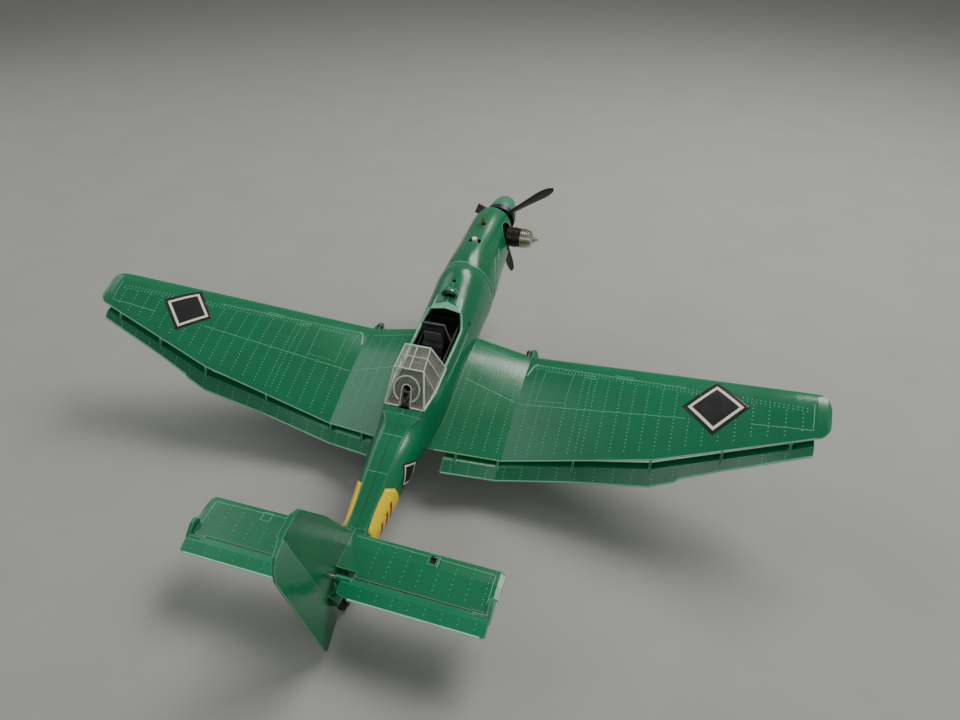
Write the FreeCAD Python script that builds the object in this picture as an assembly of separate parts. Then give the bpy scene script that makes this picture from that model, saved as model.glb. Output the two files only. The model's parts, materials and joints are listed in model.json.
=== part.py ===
"""Tethered glow-engine model of an inverted-gull dive bomber, in millimetres.

Everything is drawn in a level flying frame: +X to the right wing, +Y to the nose, +Z up, x = 0 on
the plane of symmetry.  place_and_export() then tips the finished model back onto its three wheels
and puts the origin under the middle of its box.
"""
import FreeCAD, Part
import math
import os
from FreeCAD import Vector as V

os.makedirs("parts", exist_ok=True)

# ---- driving dimensions -------------------------------------------------------------------------
HALF_SPAN = 272.0
WALL = 1.5                      # moulded shell thickness
SKIN = 1.2                      # wing, spat and spinner skin thickness
RUN = 0.05                      # radial clearance of a running fit
GAP = 0.3                       # clearance between pieces that move past each other

THRUST_X, THRUST_Z = 3.5, -31.0 # the crankshaft sits a little to the right, as built
CYLINDER_Y = 177.0              # the engine cylinder lies along +X here
PROP_Y = 201.0                  # plane of the propeller blades
PROP_RADIUS = 63.5
BLADE_ANGLES = (38.0, -82.0, 158.0)
STUB_RADIUS = 23.5              # the third blade is broken off here
SPINNER_RADIUS = 13.4
SPINNER_TIP_Y = 230.0

WHEEL_X, WHEEL_Y, WHEEL_Z = 68.0, 60.0, -102.5
WHEEL_RADIUS, WHEEL_WIDTH = 14.5, 8.0
TAIL_WHEEL_Y, TAIL_WHEEL_RADIUS, TAIL_WHEEL_WIDTH = -158.0, 6.0, 4.0
SIT_ANGLE = 12.75               # nose-up attitude on its wheels

ELEVATOR_AXIS_Y, ELEVATOR_AXIS_Z = -157.3, -24.0
ELEVATOR_HORN = 12.0            # horn hole below the elevator axis
BELLCRANK_Y, BELLCRANK_Z = 12.0, -47.0
BELLCRANK_ARM = 10.0            # pushrod arm
LINE_ARM = 15.0                 # control-line arms
PUSHROD_X = -BELLCRANK_ARM

SILL_Z = -20.5                  # cockpit sill height
NEEDLE_Y, FILLER_Y = 138.4, 164.0

# fuselage ovals: y, half width, top, height of the widest point, bottom, squareness of the top
FUSELAGE = [(107.0, 23.4, -6.5, -40.0, -57.2, 2.0), (84.0, 23.6, -5.2, -40.0, -60.0, 2.05),
            (64.0, 23.4, -9.6, -40.0, -62.0, 2.1), (45.0, 23.2, -11.5, -41.0, -63.0, 2.15),
            (22.0, 22.8, -11.8, -41.5, -63.6, 2.18), (0.0, 22.4, -12.0, -42.0, -64.0, 2.2),
            (-30.0, 20.6, -13.5, -41.0, -61.5, 2.3),
            (-48.0, 18.4, -21.0, -40.0, -59.0, 2.4), (-63.0, 16.8, -22.0, -39.5, -57.0, 2.5),
            (-93.0, 14.3, -26.0, -39.5, -54.0, 2.5), (-125.0, 11.4, -30.3, -40.0, -51.0, 2.5),
            (-150.0, 8.4, -30.3, -39.0, -48.0, 2.5), (-167.5, 6.2, -30.0, -38.5, -45.5, 2.5)]
TAIL_INNER = (-160.0, 7.2, -30.2, -39.0, -47.0, 2.5)
COWL = [(196.5, 13.0, -18.5, -31.0, -45.0, 2.0), (195.0, 15.4, -15.2, -31.5, -49.0, 2.0),
        (191.0, 17.0, -12.9, -32.5, -54.5, 2.0), (183.0, 18.4, -11.3, -34.0, -60.0, 2.0),
        (165.0, 19.8, -9.8, -36.0, -63.5, 2.0), (140.0, 21.2, -7.6, -38.0, -63.0, 2.0),
        (107.3, 23.4, -6.5, -40.0, -57.2, 2.0)]
BOTTOM_SQUARENESS = 2.35

# wing sections: x, leading edge y and z, trailing edge y and z, thickness
CRANK_X = 69.0
LE_RISE, TE_RISE = 0.30, 0.305  # rise of the outer panel per millimetre of span
CRANK_LE_Z, CRANK_TE_Z = -57.5, -62.0


def outer_z(x):
    """Leading and trailing edge heights of the outer wing panel."""
    return CRANK_LE_Z + LE_RISE * (x - CRANK_X), CRANK_TE_Z + TE_RISE * (x - CRANK_X)


def wing_section(x, le_y, te_y, thickness):
    le_z, te_z = outer_z(x)
    return x, le_y, le_z, te_y, te_z, thickness


WING = [(6.0, 68.0, -47.2, -44.8, -49.7, 15.0),
        (CRANK_X, 63.5, CRANK_LE_Z, -34.0, CRANK_TE_Z, 14.0),
        wing_section(172.0, 44.4, -26.8, 9.4), wing_section(252.0, 28.6, -8.6, 7.6),
        wing_section(264.0, 26.2, -5.8, 6.6), wing_section(269.5, 25.2, -4.8, 4.8),
        wing_section(HALF_SPAN, 24.8, -4.4, 2.2)]
# drooped flap strips: x, front edge y and z, rear edge y and z
FLAP = [(28.5, -45.5, -57.0, -54.0, -61.0), (67.0, -38.2, -64.5, -46.3, -69.5),
        (121.0, -33.0, -50.5, -41.0, -57.0), (172.0, -30.2, -36.8, -38.6, -45.0),
        (188.0, -26.8, -31.0, -34.4, -38.5), (189.0, -26.6, -30.8, -33.0, -36.8),
        (213.0, -20.6, -23.6, -26.0, -28.6), (264.0, -9.6, -6.0, -14.4, -9.0)]
FLAP_LAP = 5.5                  # the strip reaches this far forward under the wing
BRACKETS = (37.2, 67.1, 120.6, 171.0, 213.0, 250.8)

STAB_TIP_X, STAB_LE_Y, STAB_LE_Z = 100.3, -126.0, -27.3
STAB_TE_Y = ELEVATOR_AXIS_Y + 2.3
ELEVATOR_TE_Y = -167.9

FIN = [(-126.5, -29.8), (-130.3, -15.2), (-140.1, 19.2), (-152.5, 49.5), (-157.5, 53.6),
       (-171.4, 54.2), (-168.9, -29.8)]
RUDDER = [(-171.4, 54.2), (-181.6, 56.2), (-187.6, 53.2), (-190.4, 47.6), (-191.7, 6.4),
          (-192.2, -50.0), (-190.5, -53.5), (-171.0, -57.5), (-168.0, -55.0)]
RUDDER_OFFSET = 14.0            # degrees, trailing edge to the right

nodes = {}


# ---- small helpers ------------------------------------------------------------------------------
def cylinder(radius, start, direction, length):
    return Part.makeCylinder(radius, length, V(*start), V(*direction))


def box(x0, x1, y0, y1, z0, z1):
    return Part.makeBox(x1 - x0, y1 - y0, z1 - z0, V(x0, y0, z0))


def polygon_face(points):
    return Part.Face(Part.makePolygon([V(*p) for p in points] + [V(*points[0])]))


def fuse(shapes):
    return shapes[0].multiFuse(shapes[1:]).removeSplitter()


def mirrored(shape):
    return shape.mirror(V(0, 0, 0), V(1, 0, 0))


def add_pair(name, right_shape):
    """Store the right-hand piece and its left-hand mirror image."""
    nodes[name + "_right"] = right_shape
    nodes[name + "_left"] = mirrored(right_shape)


def between(table, key):
    """Row of a table at any key, by straight interpolation on its first column."""
    rows = sorted(table)
    for low, high in zip(rows, rows[1:]):
        if low[0] <= key <= high[0]:
            share = (key - low[0]) / (high[0] - low[0])
            return [a + share * (b - a) for a, b in zip(low, high)]
    raise ValueError(key)


# ---- fuselage and cowl --------------------------------------------------------------------------
def oval_wire(y, half_width, top, middle, bottom, squareness, inset=0.0):
    """Squared-off oval section at y, drawn inset from the outer skin."""
    points = []
    count = 32
    for i in range(count):
        angle = 2 * math.pi * i / count
        c, s = math.cos(angle), math.sin(angle)
        power = 2 / (squareness if s >= 0 else BOTTOM_SQUARENESS)
        height = (top - middle if s >= 0 else middle - bottom) - inset
        x = (half_width - inset) * math.copysign(abs(c) ** power, c)
        z = middle + height * math.copysign(abs(s) ** power, s)
        points.append(V(x, y, z))
    curve = Part.BSplineCurve()
    curve.interpolate(points, PeriodicFlag=True)
    return Part.Wire(curve.toShape())


def oval_loft(stations, inset=0.0):
    return Part.makeLoft([oval_wire(*row, inset) for row in stations], True, False)


def oval_plate(table, y0, y1, inset):
    """Bulkhead that fits inside the shell between y0 and y1."""
    return oval_loft([between(table, y0), between(table, y1)], inset)


def dome():
    """Half-round fairing on the deck in front of the cockpit, open at the back."""
    ball = Part.makeSphere(7.0, V(0, 71.0, -9.0))
    ball = ball.common(box(-8, 8, 70.0, 80, -14, 0))
    recess = Part.makeSphere(5.6, V(0, 69.0, -9.0)).common(box(-8, 8, 69.0, 74.0, -14, 0))
    return ball, recess


def fuselage_outer():
    body = oval_loft(FUSELAGE)
    side_view = [(-47, SILL_Z), (50, SILL_Z), (61.6, -14.0), (64.6, -9.8), (64.6, 10), (-47, 10)]
    cockpit = polygon_face([(-30, y, z) for y, z in side_view]).extrude(V(60, 0, 0))
    return body.cut(cockpit)


def fuselage_shell(outer):
    inner_rows = [(106.0,) + FUSELAGE[0][1:]] + FUSELAGE[1:-1] + [TAIL_INNER]
    inner = oval_loft(inner_rows, WALL)
    deck = box(-30, 30, -50, -34, SILL_Z - WALL, 0)
    inner = inner.cut(deck)
    ball, recess = dome()
    shell = outer.fuse(ball.cut(outer)).cut(inner).cut(recess)
    notch = box(-1.6, 1.6, 82.5, 85.5, -9, 0)
    return shell.cut(notch)


def make_fuselage(stabilisers, joiner_slot):
    outer = fuselage_outer()
    shell = fuselage_shell(outer)
    pushrod_slot = box(-18.5, -6.0, -156.0, -79.5, -45.4, -34.4)
    line_slot = box(-26, -16, BELLCRANK_Y - LINE_ARM - 4, BELLCRANK_Y + LINE_ARM + 4,
                    BELLCRANK_Z + 4.4, BELLCRANK_Z + 7.4)
    post_hole = cylinder(1.5 + RUN, (0, BELLCRANK_Y, -70), (0, 0, 1), 12)
    shell = shell.cut(joiner_slot).cut(post_hole)
    for stabiliser in stabilisers:
        shell = shell.cut(stabiliser)
    right = shell.common(box(0, 40, -170, 110, -80, 10))
    nodes["fuselage_half_right"] = right
    nodes["fuselage_half_left"] = mirrored(right).cut(pushrod_slot).cut(line_slot)
    return outer


def make_cowl():
    outer = oval_loft(COWL)
    inner_rows = [(104.0,) + COWL[-1][1:]] + COWL[3:-1][::-1] + [(193.5,) + COWL[2][1:]]
    inner = oval_loft(inner_rows, WALL)
    shell = outer.cut(inner)
    shell = shell.cut(cylinder(10.0, (THRUST_X, 190, THRUST_Z), (0, 1, 0), 10))
    intake = box(-9, 9, 186, 200, -52.5, -46.5)
    shell = shell.cut(intake)
    opening = Part.Ellipse(V(0, 0, 0), 13.0, 11.5).toShape()
    opening = Part.Face(Part.Wire(opening)).extrude(V(0, 0, 30))
    opening.rotate(V(0, 0, 0), V(0, 1, 0), 90)
    opening.translate(V(9, CYLINDER_Y - 1.0, THRUST_Z))
    needle_slot = box(-5.5, 5.5, NEEDLE_Y - 2.9, NEEDLE_Y + 2.9, -13, 0)
    filler_hole = cylinder(2.7, (0, FILLER_Y, -16), (0, 0, 1), 14)
    shell = shell.cut(opening).cut(needle_slot).cut(filler_hole)
    nodes["cowl_half_left"] = shell.common(box(-40, 0, 100, 200, -80, 10))
    nodes["cowl_half_right"] = shell.common(box(0, 40, 100, 200, -80, 10))


# ---- wing ---------------------------------------------------------------------------------------
EDGE_HALF = 0.45                # half-thickness of the wing's trailing edge


def profile_height(share):
    """Half-thickness of the aerofoil, as a share of its full thickness."""
    return 5 * (0.2969 * math.sqrt(share) - 0.126 * share - 0.3516 * share ** 2
                + 0.2843 * share ** 3 - 0.1036 * share ** 4)


def half_profile(row, side, inset=0.0):
    """Upper (side = 1) or lower (side = -1) half of the aerofoil at one wing section."""
    x, le_y, le_z, te_y, te_z, thickness = row
    weight = 1.24 if side > 0 else 0.76
    front, back = 1.4 * inset, 5.0 * inset
    chord = le_y - te_y - front - back
    drop = (te_z - le_z) / (te_y - le_y)
    points = []
    for i in range(11):
        share = (1 - math.cos(math.pi * i / 10)) / 2
        y = le_y - front - share * chord
        real_share = (le_y - y) / (le_y - te_y)
        rise = weight * thickness * profile_height(share) + EDGE_HALF * real_share
        rise = max(rise - inset * min(1.0, 4 * share), 0.0) if inset else rise
        points.append(V(x, y, le_z + drop * (y - le_y) + side * rise))
    overlap = V(0, 0, -0.2 * side) if inset else V(0, 0, 0)
    curve = Part.BSplineCurve()
    curve.interpolate(points)
    front_point = points[0] + overlap
    back_point = V(x, points[-1].y, le_z + drop * (points[-1].y - le_y)) + overlap
    edges = [curve.toShape()]
    edges.append(Part.makeLine(points[-1], back_point))
    edges.append(Part.makeLine(back_point, front_point))
    if inset:
        edges.append(Part.makeLine(front_point, points[0]))
    return Part.Wire(edges)


def wing_half_solid(side):
    return Part.makeLoft([half_profile(row, side) for row in WING], True, True)


def wing_hollow(side):
    return Part.makeLoft([half_profile(row, side, SKIN) for row in WING[:4]], True, True)


def wing_outline():
    """Plan outline whose tip corners are rounded."""
    inboard = between(WING, 200.0)
    tip = WING[-1]
    points = [(200, inboard[1], -120), (HALF_SPAN, tip[1], -120),
              (HALF_SPAN, tip[3], -120), (200, inboard[3], -120)]
    block = polygon_face(points).extrude(V(0, 0, 160))
    corners = []
    for edge in block.Edges:
        middle = edge.CenterOfMass
        if middle.x > HALF_SPAN - 1 and abs(edge.BoundBox.ZLength - 160) < 1:
            corners.append(edge)
    corners.sort(key=lambda e: e.CenterOfMass.y)
    block = block.makeFillet(9.0, [corners[0]])
    front = [e for e in block.Edges if e.BoundBox.ZLength > 159 and e.CenterOfMass.x > HALF_SPAN - 1
             and e.CenterOfMass.y > 20]
    block = block.makeFillet(15.0, front)
    return block.fuse(box(0, 200, -80, 100, -120, 40))


def wing_screw_spots():
    return [(30.0, 39.0), (52.0, 39.0)]


def chord_z(x, y):
    row = between(WING, x)
    share = (row[1] - y) / (row[1] - row[3])
    return row[2] + share * (row[4] - row[2])


def screw(x, y, low, high, radius, head_radius, head_height):
    shank = cylinder(radius, (x, y, low), (0, 0, 1), high - low)
    return shank.fuse(cylinder(head_radius, (x, y, low), (0, 0, 1), head_height))


def make_joiner():
    """Bent strip that carries the wings through the fuselage."""
    lift, thickness, reach = 1.0, 3.0, 60.0
    middle, end = chord_z(6.0, 39.0) + lift + 1.0, chord_z(reach, 39.0) + lift
    points = [(-reach, 35, end), (0, 35, middle), (reach, 35, end), (reach, 35, end + thickness),
              (0, 35, middle + thickness), (-reach, 35, end + thickness)]
    strip = polygon_face(points).extrude(V(0, 8, 0))
    slot_points = [(p[0], 34.7, p[2] + (0.3 if i > 2 else -0.3)) for i, p in enumerate(points)]
    slot = polygon_face(slot_points).extrude(V(0, 8.6, 0))
    for x, y in wing_screw_spots():
        hole = cylinder(1.2 + RUN, (x, y, -70), (0, 0, 1), 40)
        strip = strip.cut(hole).cut(mirrored(hole))
    nodes["wing_joiner"] = strip
    return slot


def make_wing(fuselage, joiner_slot):
    outline = wing_outline()
    upper = wing_half_solid(1).common(outline).cut(fuselage)
    lower = wing_half_solid(-1).common(outline).cut(fuselage)
    solid_wing = upper.fuse(lower)
    upper = upper.cut(wing_hollow(1))
    lower = lower.cut(wing_hollow(-1))
    screws = []
    for x, y in wing_screw_spots():
        low = chord_z(x, y) - 6.4
        lower = lower.cut(screw(x, y, low - 2, low + 12, 1.2 + RUN, 2.5, 3.6))
        screws.append(screw(x, y, low + 0.4, chord_z(x, y) + 4.2, 1.2, 2.2, 1.2))
    add_pair("wing_upper", upper.cut(joiner_slot))
    add_pair("wing_lower", lower.cut(joiner_slot))
    nodes["wing_screws"] = Part.makeCompound(screws + [mirrored(s) for s in screws])
    return solid_wing


def make_flaps(solid_wing):
    """Auxiliary flap strip hung behind the trailing edge on six brackets."""
    wires = []
    for x, front, front_z, rear, rear_z in FLAP:
        lip = V(x, front + FLAP_LAP, front_z - 0.3)
        wires.append(Part.makePolygon([lip, V(x, front, front_z), V(x, rear, rear_z),
                                       V(x, rear + 0.3, rear_z - 0.9), V(x, front + 0.4, front_z - 2.2),
                                       V(x, front + FLAP_LAP, front_z - 1.3), lip]))
    strip = Part.makeLoft(wires, True, True)
    for x in BRACKETS:
        te = between(WING, x)
        flap = between(FLAP, x)
        rib = [(x - 0.7, te[3] + 5, te[4] - 4.0), (x - 0.7, te[3] - 0.4, te[4] + 0.8),
               (x - 0.7, te[3] - 1.8, te[4] + 0.4), (x - 0.7, flap[1] - 2.5, flap[2] - 1.2),
               (x - 0.7, flap[1] - 1.0, flap[2] - 4.6)]
        strip = strip.fuse(polygon_face(rib).extrude(V(1.4, 0, 0)))
    strip = strip.cut(solid_wing).removeSplitter()
    add_pair("flap_strip", strip)


# ---- tail ---------------------------------------------------------------------------------------
def slab_section(x, front, rear, nose_half, tail_half, front_z, rear_z):
    """Rounded-nose wedge section of a tail surface."""
    slope = (rear_z - front_z) / (rear - front)
    nose = [V(x, front - nose_half, front_z + nose_half), V(x, front, front_z),
            V(x, front - nose_half, front_z - nose_half)]
    arc = Part.Arc(nose[0], nose[1], nose[2]).toShape()
    middle = front - 0.35 * (front - rear)
    middle_z = front_z + slope * (middle - front)
    top = [nose[0], V(x, middle, middle_z + nose_half * 1.25), V(x, rear, rear_z + tail_half)]
    low = [nose[2], V(x, middle, middle_z - nose_half * 1.25), V(x, rear, rear_z - tail_half)]
    edges = [arc, Part.makeLine(low[0], low[1]), Part.makeLine(low[1], low[2]),
             Part.makeLine(low[2], top[2]), Part.makeLine(top[2], top[1]),
             Part.makeLine(top[1], top[0])]
    return Part.Wire(edges)


def stabiliser_right():
    stations = [(1.8, 1.0, 2.0), (STAB_TIP_X - 3, 1.4, 1.8), (STAB_TIP_X, 3.2, 1.0)]
    wires = [slab_section(x, STAB_LE_Y - setback, STAB_TE_Y, half, 1.5 * half / 2.0,
                          STAB_LE_Z, ELEVATOR_AXIS_Z) for x, setback, half in stations]
    stab = Part.makeLoft(wires, True, True)
    notch = box(-1, 15.0, -162, -151.6, -32, -15)
    outer_notch = box(88.0, 96.4, -162, -154.4, -32, -15).fuse(box(96.0, 104, -162, -145.2, -32, -15))
    return stab.cut(notch).cut(outer_notch)


def tail_port():
    """Square hole with a raised rim in the right stabiliser."""
    centre_x, centre_y = 56.5, -132.3
    rim = box(centre_x - 3.2, centre_x + 3.2, centre_y - 3.7, centre_y + 3.7, -26.6, -23.4)
    hole = box(centre_x - 2.0, centre_x + 2.0, centre_y - 2.5, centre_y + 2.5, -35, -15)
    return rim, hole


def elevator_right():
    """Elevator with its hinge barrels and the raised balance horn at the tip."""
    axis = (ELEVATOR_AXIS_Y, ELEVATOR_AXIS_Z)
    stations = [(8.0, ELEVATOR_TE_Y + 2.0), (16.0, ELEVATOR_TE_Y), (STAB_TIP_X - 4.0, ELEVATOR_TE_Y),
                (STAB_TIP_X - 1.6, ELEVATOR_TE_Y + 1.0)]
    wires = [slab_section(x, axis[0] + 1.7, te, 1.35, 0.55, axis[1], axis[1] - 0.4)
             for x, te in stations]
    blade = Part.makeLoft(wires, True, True)
    knuckle = cylinder(2.1, (4.0, axis[0], axis[1]), (1, 0, 0), 10.2)
    barrel = cylinder(2.0, (89.0, axis[0], axis[1]), (1, 0, 0), 7.6)
    arm = [(-1.7, -1.5), (-1.7, 1.6), (2.2, 3.4), (6.5, 5.4), (9.4, 5.4), (11.2, 3.6), (11.4, 0.6),
           (9.6, -1.8), (4.0, -2.2)]
    horn = polygon_face([(96.9, axis[0] + y, axis[1] + z) for y, z in arm]).extrude(V(2.3, 0, 0))
    solid = fuse([blade, knuckle, barrel, horn])
    return solid.cut(cylinder(1.2 + RUN, (0, axis[0], axis[1]), (1, 0, 0), 14.0))


def make_tail():
    right = stabiliser_right()
    left = mirrored(right)
    rim, hole = tail_port()
    right = right.fuse(rim).cut(hole).removeSplitter()
    nodes["stabiliser_right"] = right
    nodes["stabiliser_left"] = left
    elevator = elevator_right()
    nodes["elevator_right"] = elevator
    left_elevator = mirrored(elevator)
    horn_x = PUSHROD_X - 0.8
    horn = polygon_face([(horn_x, ELEVATOR_AXIS_Y + 2.0, ELEVATOR_AXIS_Z),
                         (horn_x, ELEVATOR_AXIS_Y - 2.0, ELEVATOR_AXIS_Z),
                         (horn_x, ELEVATOR_AXIS_Y - 3.2, ELEVATOR_AXIS_Z - ELEVATOR_HORN - 3.0),
                         (horn_x, ELEVATOR_AXIS_Y + 3.2, ELEVATOR_AXIS_Z - ELEVATOR_HORN - 3.0)])
    horn = horn.extrude(V(1.6, 0, 0))
    bore = cylinder(1.2 + RUN, (-14.0, ELEVATOR_AXIS_Y, ELEVATOR_AXIS_Z), (1, 0, 0), 14.0)
    eye = cylinder(1.8, (-20, ELEVATOR_AXIS_Y, ELEVATOR_AXIS_Z - ELEVATOR_HORN), (1, 0, 0), 20)
    nodes["elevator_left"] = fuse([left_elevator, horn]).cut(bore).cut(eye)
    nodes["elevator_torque_rod"] = cylinder(1.2, (-13.6, ELEVATOR_AXIS_Y, ELEVATOR_AXIS_Z),
                                            (1, 0, 0), 27.2)
    return [right, left]


def make_fin(stabilisers):
    """Fin with the rudder moulded on, its trailing edge set over to the right."""
    half = 1.7
    fin = polygon_face([(-half, y, z) for y, z in FIN]).extrude(V(2 * half, 0, 0))
    front_edges = [e for e in fin.Edges
                   if e.BoundBox.XLength < 0.1 and e.CenterOfMass.y > -160 and e.CenterOfMass.z > -25]
    fin = fin.makeFillet(1.2, front_edges)
    outline = polygon_face([(-14, y, z) for y, z in RUDDER]).extrude(V(30, 0, 0))
    hinge_y, tail_y, tail_half = -167.5, -194.0, 0.5
    wedge = polygon_face([(-half, hinge_y, -70), (half, hinge_y, -70), (tail_half, tail_y, -70),
                          (-tail_half, tail_y, -70)]).extrude(V(0, 0, 140))
    wedge.rotate(V(0, hinge_y, 0), V(0, 0, 1), RUDDER_OFFSET)
    whole = fin.fuse(outline.common(wedge))
    rod_hole = cylinder(1.2 + GAP, (-6, ELEVATOR_AXIS_Y, ELEVATOR_AXIS_Z), (1, 0, 0), 12)
    whole = whole.cut(rod_hole)
    for stabiliser in stabilisers:
        whole = whole.cut(stabiliser)
    nodes["fin"] = whole.removeSplitter()


# ---- undercarriage ------------------------------------------------------------------------------
def spat_oval(z, y_front, y_rear, half_width, inset=0.0):
    centre = (y_front + y_rear) / 2
    long_half = (y_front - y_rear) / 2 - inset
    curve = Part.Ellipse(V(WHEEL_X, centre, z), long_half, half_width - inset).toShape()
    curve.rotate(V(WHEEL_X, centre, z), V(0, 0, 1), 90)
    return Part.Wire(curve)


def make_spats(solid_wing):
    rows = [(-58.0, 73.0, 38.0, 6.0), (-74.0, 73.0, 40.0, 6.5), (-88.0, 78.0, 37.0, 8.4),
            (-101.0, 81.5, 30.0, 9.0), (-110.0, 78.0, 33.0, 8.0)]
    outer = Part.makeLoft([spat_oval(*row) for row in rows], True, False)
    inner = Part.makeLoft([spat_oval(*row, SKIN) for row in rows[1:-1]]
                          + [spat_oval(-111.5, 77.0, 34.0, 8.0, SKIN)], True, False)
    shell = outer.cut(inner).cut(solid_wing)
    boss = cylinder(3.0, (WHEEL_X - 8.6, WHEEL_Y, WHEEL_Z), (1, 0, 0), 17.2)
    boss = boss.cut(box(WHEEL_X - 4.6, WHEEL_X + 4.6, 50, 70, -110, -90)).common(outer)
    shell = shell.fuse(boss)
    shell = shell.cut(cylinder(1.25 + RUN, (WHEEL_X - 7.6, WHEEL_Y, WHEEL_Z), (1, 0, 0), 15.2))
    add_pair("spat_outer", shell.common(box(WHEEL_X, WHEEL_X + 12, 20, 90, -120, -40)))
    add_pair("spat_inner", shell.common(box(WHEEL_X - 12, WHEEL_X, 20, 90, -120, -40)))
    axle = cylinder(1.25, (WHEEL_X - 7.5, WHEEL_Y, WHEEL_Z), (1, 0, 0), 15.0)
    add_pair("wheel_axle", axle)


def tyre(radius, width, bore_radius, centre, corner):
    ring = cylinder(radius, (centre[0] - width / 2, centre[1], centre[2]), (1, 0, 0), width)
    rims = [e for e in ring.Edges if e.BoundBox.XLength < 0.01]
    ring = ring.makeFillet(corner, rims)
    return ring.cut(cylinder(bore_radius, (centre[0] - width, centre[1], centre[2]), (1, 0, 0),
                             2 * width))


def make_wheels():
    centre = (WHEEL_X, WHEEL_Y, WHEEL_Z)
    hub_radius = 7.0
    hub = cylinder(hub_radius, (WHEEL_X - 3.6, WHEEL_Y, WHEEL_Z), (1, 0, 0), 7.2)
    for side in (-1, 1):
        x = WHEEL_X + side * 3.6 - (1.5 if side > 0 else 0)
        dish = cylinder(6.0, (x, WHEEL_Y, WHEEL_Z), (1, 0, 0), 1.5)
        dish = dish.cut(cylinder(2.6, (x, WHEEL_Y, WHEEL_Z), (1, 0, 0), 1.5))
        hub = hub.cut(dish)
    hub = hub.cut(cylinder(1.25 + RUN, (WHEEL_X - 5, WHEEL_Y, WHEEL_Z), (1, 0, 0), 10))
    add_pair("wheel_tyre", tyre(WHEEL_RADIUS, WHEEL_WIDTH, hub_radius, centre, 2.6))
    add_pair("wheel_hub", hub)


def make_siren_caps(solid_wing):
    """Black stub on each wing leading edge, above the wheel leg."""
    z = CRANK_LE_Z + 4.0
    stub = cylinder(1.7, (WHEEL_X - 2.4, 56.0, z), (0, 1, 0), 10.0)
    collar = cylinder(2.2, (WHEEL_X - 2.4, 63.6, z), (0, 1, 0), 1.4)
    add_pair("siren_cap", stub.fuse(collar).cut(solid_wing))


def ground_z(y):
    """Height of the ground line at y, from the bottom of the main wheels."""
    slope = math.tan(math.radians(SIT_ANGLE))
    lift = WHEEL_RADIUS / math.cos(math.radians(SIT_ANGLE))
    return WHEEL_Z - lift - slope * (y - WHEEL_Y)


def tail_wheel_z():
    lift = TAIL_WHEEL_RADIUS / math.cos(math.radians(SIT_ANGLE))
    return ground_z(TAIL_WHEEL_Y) + lift


def make_tail_wheel(fuselage):
    z = tail_wheel_z()
    centre = (0, TAIL_WHEEL_Y, z)
    axle_radius = 0.9
    nodes["tail_wheel"] = tyre(TAIL_WHEEL_RADIUS, TAIL_WHEEL_WIDTH, axle_radius + RUN, centre, 1.2)
    nodes["tail_wheel_axle"] = cylinder(axle_radius, (-4.2, TAIL_WHEEL_Y, z), (1, 0, 0), 8.4)
    fork = box(-4.0, 4.0, TAIL_WHEEL_Y - 2.0, TAIL_WHEEL_Y + 2.0, z - 2.0, z + 9.0)
    fork = fork.cut(box(-2.5, 2.5, TAIL_WHEEL_Y - 3, TAIL_WHEEL_Y + 3, z - 3, z + 7.2))
    leg = cylinder(2.4, (0, TAIL_WHEEL_Y, z + 7.2), (0, 0.25, 1), 12)
    fork = fuse([fork, leg]).cut(cylinder(axle_radius, (-5, TAIL_WHEEL_Y, z), (1, 0, 0), 10))
    nodes["tail_fork"] = fork.cut(fuselage)


# ---- engine -------------------------------------------------------------------------------------
STROKE_HALF = 4.9
BORE_RADIUS = 5.15
CRANKCASE_BACK = 167.0


def make_crankcase():
    case = cylinder(9.0, (THRUST_X, CRANKCASE_BACK, THRUST_Z), (0, 1, 0), 19)
    nose = cylinder(5.6, (THRUST_X, 184, THRUST_Z), (0, 1, 0), 11)
    tower = cylinder(7.6, (0, CYLINDER_Y, THRUST_Z), (1, 0, 0), 14)
    flange = cylinder(12.0, (THRUST_X, CRANKCASE_BACK, THRUST_Z), (0, 1, 0), 2.2)
    case = fuse([case, nose, tower, flange])
    chamber = cylinder(7.2, (THRUST_X, CRANKCASE_BACK - 1, THRUST_Z), (0, 1, 0), 15)
    bearing = cylinder(3.0 + RUN, (THRUST_X, 170, THRUST_Z), (0, 1, 0), 40)
    liner = cylinder(6.4, (4, CYLINDER_Y, THRUST_Z), (1, 0, 0), 20)
    nodes["crankcase"] = case.cut(chamber).cut(bearing).cut(liner)


def make_cylinder():
    rings = [cylinder(6.4, (10.6, CYLINDER_Y, THRUST_Z), (1, 0, 0), 23.4),
             cylinder(7.6, (14.0, CYLINDER_Y, THRUST_Z), (1, 0, 0), 16.0)]
    for i in range(7):
        x = 18.4 + 1.7 * i
        radius = 8.9 - 0.18 * abs(i - 3)
        rings.append(cylinder(radius, (x, CYLINDER_Y, THRUST_Z), (1, 0, 0), 0.9))
    body = fuse(rings)
    body = body.cut(cylinder(BORE_RADIUS, (0, CYLINDER_Y, THRUST_Z), (1, 0, 0), 32.4))
    port = box(14.8, 17.6, CYLINDER_Y - 3, CYLINDER_Y + 3, THRUST_Z - 12, THRUST_Z + 12)
    nodes["cylinder"] = body.cut(port)


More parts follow.
